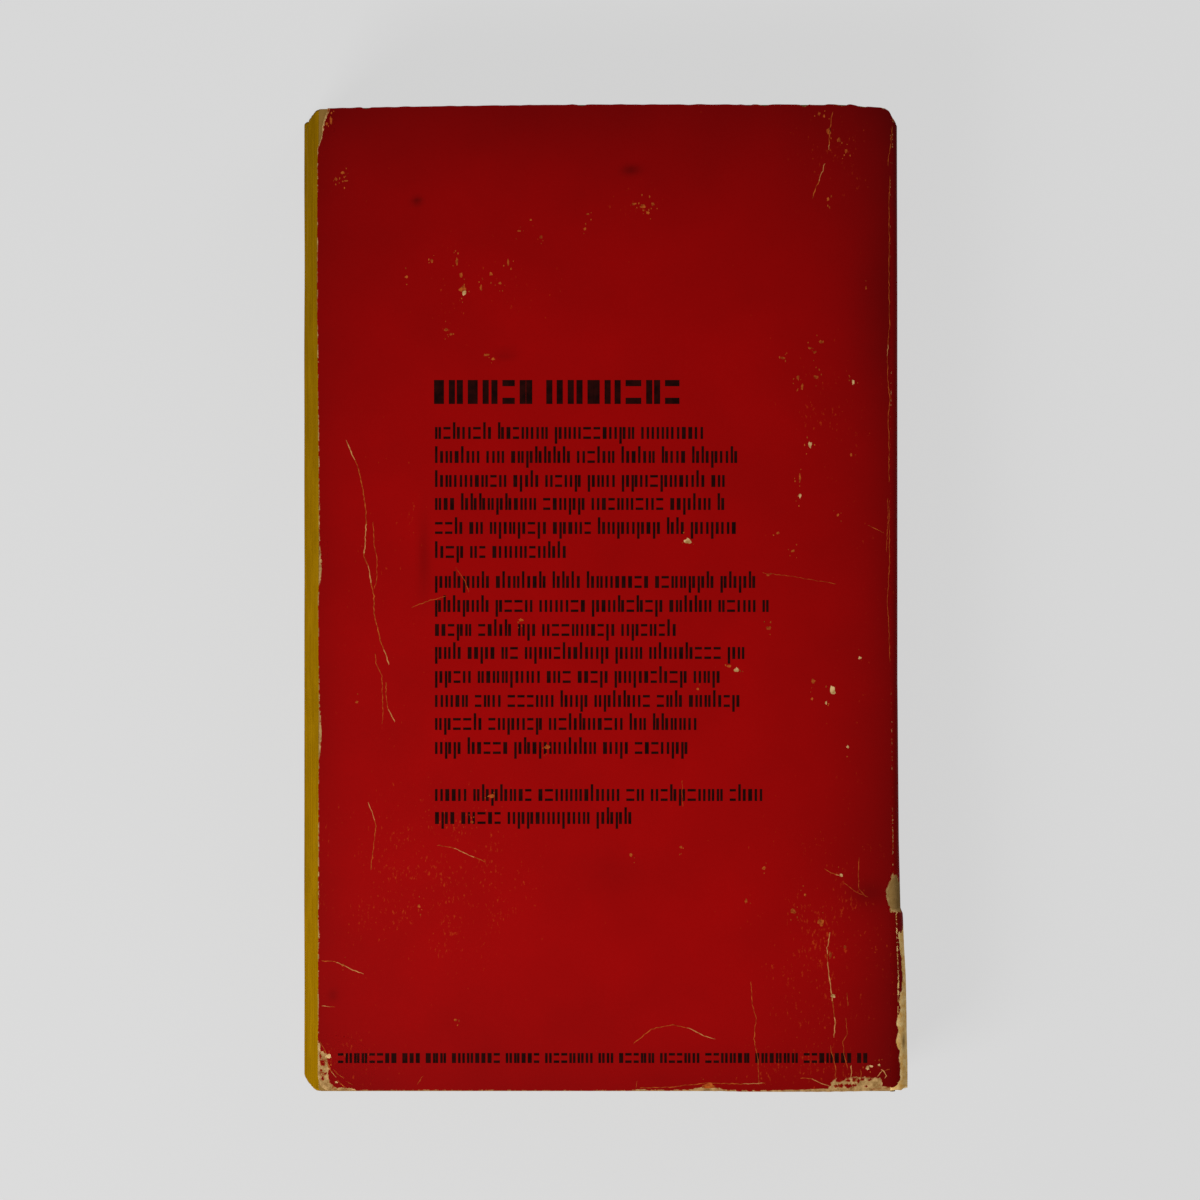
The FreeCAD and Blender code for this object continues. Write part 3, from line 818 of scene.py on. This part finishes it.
def leaf_ring(z, grow, batch):
    """Outline of the leaves at height z, grown outwards by grow, seen from above, to the left."""
    rise = (z - pages_low.z) / (pages_high.z - pages_low.z)
    shift = LEAN * rise
    draw = random.Random(700 + batch)
    fore = pages_low.x + shift - grow + draw.uniform(-0.07, 0.07) * MM
    tail = TAIL - grow * 0.6 + draw.uniform(0.0, 0.12) * MM
    head_drop = draw.uniform(0.02, 0.16) * MM - grow * 0.6
    section_x, section_z, _, _ = spine_section(np.linspace(0, 1, 200), CARD + GLUE_FILM, np.zeros(200))
    right = np.interp(z, section_z[::-1], section_x[::-1])
    shear = (1 - rise) * LEAN

    def head_y(x):
        line = edge_y(HEAD_EDGE_PX, np.clip(x + shear, photo_x(327), photo_x(884)))
        # The rubbed corner between head and spine cuts the upper leaves too
        worn = HEAD - 0.9 * MM - (x - BACK_CREASE_X + 0.9 * MM) * 2.1
        return np.minimum(line, worn) - head_drop

    corner = along(PAGE_HEAD_CORNER, z / MM) * MM
    tail_corner = along(PAGE_TAIL_CORNER, z / MM) * MM
    under = np.clip(1 - (pages_high.z - z) / TOP_LEAVES, 0, 1) ** 2
    fore = fore + under * np.clip(cover_fore(0.0) + 0.1 * MM - fore, 0, WORN_BACK)
    top = head_y(np.array([fore + corner]))[0]
    tail_x = np.linspace(fore + tail_corner, right, 40)
    spine_y = np.linspace(tail, head_y(np.array([right]))[0], 16)[1:-1]
    head_x = np.linspace(right, fore + corner, 46)
    turn = np.linspace(0, math.pi / 2, 8)[1:-1]
    corner_x = fore + corner * (1 - np.sin(turn))
    corner_y = top - corner * (1 - np.cos(turn))
    fore_y = np.linspace(top - corner, tail + tail_corner, 90)
    fore_x = fore + 0.05 * MM * wander(fore_y, 40 * MM, 800 + batch)
    edge_x = np.minimum(cover_fore(fore_y) + 0.1 * MM, WORN_TO)
    fore_x = fore_x + under * np.clip(edge_x - fore_x, 0, WORN_BACK)
    bend_x = fore + tail_corner * (1 - np.cos(turn))
    bend_y = tail + tail_corner * (1 - np.sin(turn))
    xs = np.concatenate([tail_x, np.full(spine_y.shape, right), head_x, corner_x, fore_x, bend_x])
    ys = np.concatenate([np.full(tail_x.shape, tail), spine_y, head_y(head_x), corner_y, fore_y, bend_y])
    return np.stack([xs, ys, np.full(xs.shape, z)], -1)


def page_block(edge_side, page_side):
    """The leaves: fine ridges round the cut edges, in a stack that leans towards the spine."""
    bottom, top = pages_low.z, pages_high.z
    step = (top - bottom) / LEAF_BATCHES
    rings = []
    for batch in range(LEAF_BATCHES):
        low = bottom + batch * step
        rings.append(leaf_ring(low + 0.06 * step, -0.05 * MM, batch))
        rings.append(leaf_ring(low + 0.5 * step, 0.02 * MM, batch))
        rings.append(leaf_ring(low + 0.94 * step, -0.05 * MM, batch))
    rings[0][:, 2] = bottom
    rings[-1][:, 2] = top
    count = len(rings[0])
    points = np.concatenate(rings)
    around = np.arange(count)
    after = np.roll(around, -1)
    faces = []
    for level in range(len(rings) - 1):
        base = level * count
        ring = np.stack([around, after, after + count, around + count], -1) + base
        faces += ring.tolist()
    sides = len(faces)
    faces.append(list(range(count))[::-1])
    faces.append([(len(rings) - 1) * count + i for i in range(count)])
    slots = [0] * sides + [1, 1]
    piece = add_piece("page_stack", points, faces, slots, [edge_side, page_side], smooth_angle=50)
    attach(piece, "bound_pages")
    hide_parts("page_block")


# Thin closed shapes that lie on the back cover


class Flakes:
    """Collects thin closed shapes that follow the back cover, to make one piece of them."""

    def __init__(self, height):
        self.height = height
        self.points = []
        self.faces = []
        self.slots = []

    def add_outline(self, outline, slot):
        """A flat shape from an outline that runs to the left, as (x, y) points."""
        start = len(self.points)
        count = len(outline)
        for level in (self.height, -self.height):
            for x, y in outline:
                self.points.append((x, y, TOP + float(cover_lift(np.float64(x), np.float64(y))) + level))
        upper = [start + i for i in range(count)]
        lower = [start + count + i for i in range(count)]
        self.faces.append(upper)
        self.faces.append(lower[::-1])
        for i in range(count):
            j = (i + 1) % count
            self.faces.append([upper[j], upper[i], lower[i], lower[j]])
        self.slots += [slot] * (count + 2)

    def piece(self, name, materials):
        return add_piece(name, self.points, self.faces, self.slots, materials)


def fleck(flakes, draw, x, y, wide, tall, slot):
    """A small ragged patch round (x, y)."""
    count = 11
    outline = []
    for i in range(count):
        angle = TURN * i / count
        reach = draw.uniform(0.55, 1.15)
        outline.append((x + wide / 2 * reach * math.cos(angle), y + tall / 2 * reach * math.sin(angle)))
    flakes.add_outline(outline, slot)


def crack(flakes, draw, width, bareness, points):
    """A jagged ribbon along points: bare board in some stretches, thinned ink in the rest."""
    path = []
    for (x1, y1), (x2, y2) in zip(points, points[1:]):
        steps = max(1, round(math.hypot(x2 - x1, y2 - y1) / (0.5 * MM)))
        for i in range(steps):
            share = i / steps
            sway = draw.uniform(-0.08, 0.08) * MM
            path.append((x1 + (x2 - x1) * share + sway, y1 + (y2 - y1) * share - sway))
    path.append(points[-1])
    halves = [width / 2 * draw.uniform(0.4, 1.0) for _ in path]
    halves[0] = halves[-1] = 0.02 * MM
    sides = []
    for i, (x, y) in enumerate(path):
        before, after = path[max(i - 1, 0)], path[min(i + 1, len(path) - 1)]
        run = math.hypot(after[0] - before[0], after[1] - before[1])
        right = ((after[1] - before[1]) / run * halves[i], (before[0] - after[0]) / run * halves[i])
        sides.append(((x + right[0], y + right[1]), (x - right[0], y - right[1])))
    at = 0
    while at < len(path) - 1:
        stop = min(at + draw.randint(3, 8), len(path) - 1)
        slot = 2 if draw.random() < bareness else 1
        stretch = sides[at:stop + 1]
        flakes.add_outline([side[0] for side in stretch] + [side[1] for side in stretch[::-1]], slot)
        at = stop


def on_cover(x, y):
    """Whether a speck at (x, y) lies clear of the edges of the back cover."""
    low = edge_y(TAIL_EDGE_PX, x) + SPECK_CLEARANCE
    high = edge_y(HEAD_EDGE_PX, x) - SPECK_CLEARANCE
    return low < y < high and cover_fore(y) + SPECK_CLEARANCE < x < BACK_CREASE_X - SPECK_CLEARANCE


def cover_wear(bared, thinned, cracked):
    """The cracks and flecks in the print of the back cover."""
    draw = random.Random(5)
    flakes = Flakes(0.012 * MM)
    for width, bareness, points in CRACKS_PX:
        run = [(photo_x(px), photo_y(py)) for px, py in points]
        crack(flakes, draw, width * MM, bareness, run)
    for slot, flecks in ((0, BARE_FLECKS_PX), (1, THIN_FLECKS_PX)):
        for px, py, wide, tall in flecks:
            x, y = photo_x(px), photo_y(py)
            fleck(flakes, draw, x, y, wide * PX, tall * PX, slot)
            for _ in range(draw.randint(1, 4)):
                size = draw.uniform(0.10, 0.28) * MM
                reach = (wide + tall) / 2 * PX + draw.uniform(0.2, 1.2) * MM
                angle = draw.uniform(0, TURN)
                speck_x, speck_y = x + reach * math.cos(angle) / 2, y + reach * math.sin(angle)
                if on_cover(speck_x, speck_y):
                    fleck(flakes, draw, speck_x, speck_y, size, size * draw.uniform(1, 2), 1)
    piece = flakes.piece("back_cover_wear", [bared, thinned, cracked])
    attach(piece, "back_board")


def block_row(flakes, draw, left_px, middle_px, right_px, height_px, weight, even):
    """Plain marks in groups, in the place of a line of print: blocks, pairs of uprights or of bars."""
    stroke = weight * height_px

    def block(left, top, wide, tall):
        x1, x2 = photo_x(left), photo_x(left + wide)
        y1, y2 = photo_y(top + tall), photo_y(top)
        flakes.add_outline([(x1, y1), (x2, y1), (x2, y2), (x1, y2)], 0)

    at = left_px
    left_in_group = draw.randint(3, 8)
    while at < right_px - 0.6 * height_px:
        wide = height_px * draw.uniform(0.5, 0.7)
        top = middle_px - height_px / 2
        kind = draw.choice(["uprights", "uprights", "bars", "block"] + ["tall", "low"] * (not even))
        if kind == "uprights":
            block(at, top, stroke, height_px)
            block(at + wide - stroke, top, stroke, height_px)
        elif kind == "bars":
            block(at, top, wide, stroke)
            block(at, top + height_px - stroke, wide, stroke)
        elif kind == "block":
            wide = 1.6 * stroke
            block(at, top, wide, height_px)
        else:
            block(at, top - 0.4 * height_px * (kind == "tall"), stroke, 1.4 * height_px)
            block(at + wide - 1.2 * stroke, top, 1.2 * stroke, height_px)
        at += wide + 0.2 * height_px
        left_in_group -= 1
        if left_in_group == 0:
            at += 0.38 * height_px
            left_in_group = draw.randint(2, 9)


def cover_print(ink):
    """Print on the back cover: rows of plain blocks, which form no letters."""
    draw = random.Random(11)
    flakes = Flakes(0.006 * MM)
    block_row(flakes, draw, *TITLE_BLOCKS_PX, HEAVY_STROKE, True)
    for middle, right in FIRST_ROWS_PX + SECOND_ROWS_PX + THIRD_ROWS_PX:
        block_row(flakes, draw, ROWS_LEFT_PX, middle, right, ROW_BLOCK_PX, LIGHT_STROKE, False)
    block_row(flakes, draw, *FOOT_BLOCKS_PX, HEAVY_STROKE, True)
    piece = flakes.piece("back_cover_print", [ink])
    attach(piece, "back_board")


# Floor, lights and camera


def floor():
    corners = [(-1, -1), (1, -1), (1, 1), (-1, 1)]
    points = [(x * FLOOR_HALF, y * FLOOR_HALF, -FLOOR_DROP) for x, y in corners]
    add_piece("floor", points, [[0, 1, 2, 3]], [0], [pale_floor()])


def softbox(name, place, size, power):
    """A square lamp at place that faces the book."""
    light = bpy.data.lights.new(name, "AREA")
    light.size = size
    light.energy = power
    lamp = bpy.data.objects.new(name, light)
    lamp.location = place
    lamp.rotation_euler = (-Vector(place)).to_track_quat("-Z", "Y").to_euler()
    bpy.context.scene.collection.objects.link(lamp)


def lights():
    softbox("key_light", (-0.34, -0.34, 0.44), 0.30, 4.3)
    softbox("fill_light", (0.75, 0.70, 0.80), 0.70, 2.8)
    world = bpy.data.worlds.new("studio")
    world.use_nodes = True
    world.node_tree.nodes["Background"].inputs["Color"].default_value = colour("#E6E6E6")
    world.node_tree.nodes["Background"].inputs["Strength"].default_value = 0.25
    bpy.context.scene.world = world


def camera():
    data = bpy.data.cameras.new("camera")
    data.sensor_width = SENSOR_WIDTH
    data.lens = SENSOR_WIDTH * CAMERA_HEIGHT / (PHOTO_PX * PX)
    data.clip_start = 0.05
    data.clip_end = 10
    eye = bpy.data.objects.new("camera", data)
    eye.location = (CAMERA_X, CAMERA_Y, TOP + CAMERA_HEIGHT)
    bpy.context.scene.collection.objects.link(eye)
    bpy.context.scene.camera = eye


def main():
    print_side = printed_card()
    board_side = raw_board()
    back_cover(print_side, board_side)
    front_cover(print_side, board_side)
    spine_cover(print_side, board_side)
    page_block(leaf_edges(), pulp_page())
    glue = old_glue()
    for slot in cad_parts["spine_glue"].material_slots:
        slot.material = glue
    cover_wear(mark("bared_cover_board", "#9A7440", "#D3AE78", 0.8),
               mark("thinned_red_ink", "#7E2A08", "#B0561C", 0.8),
               mark("cracked_red_ink", "#A06030", "#C08A50", 0.8))
    cover_print(mark("black_printing_ink", "#120100", "#230402", 1.5))
    floor()
    lights()
    camera()
    bpy.context.scene.view_settings.view_transform = "Standard"


main()
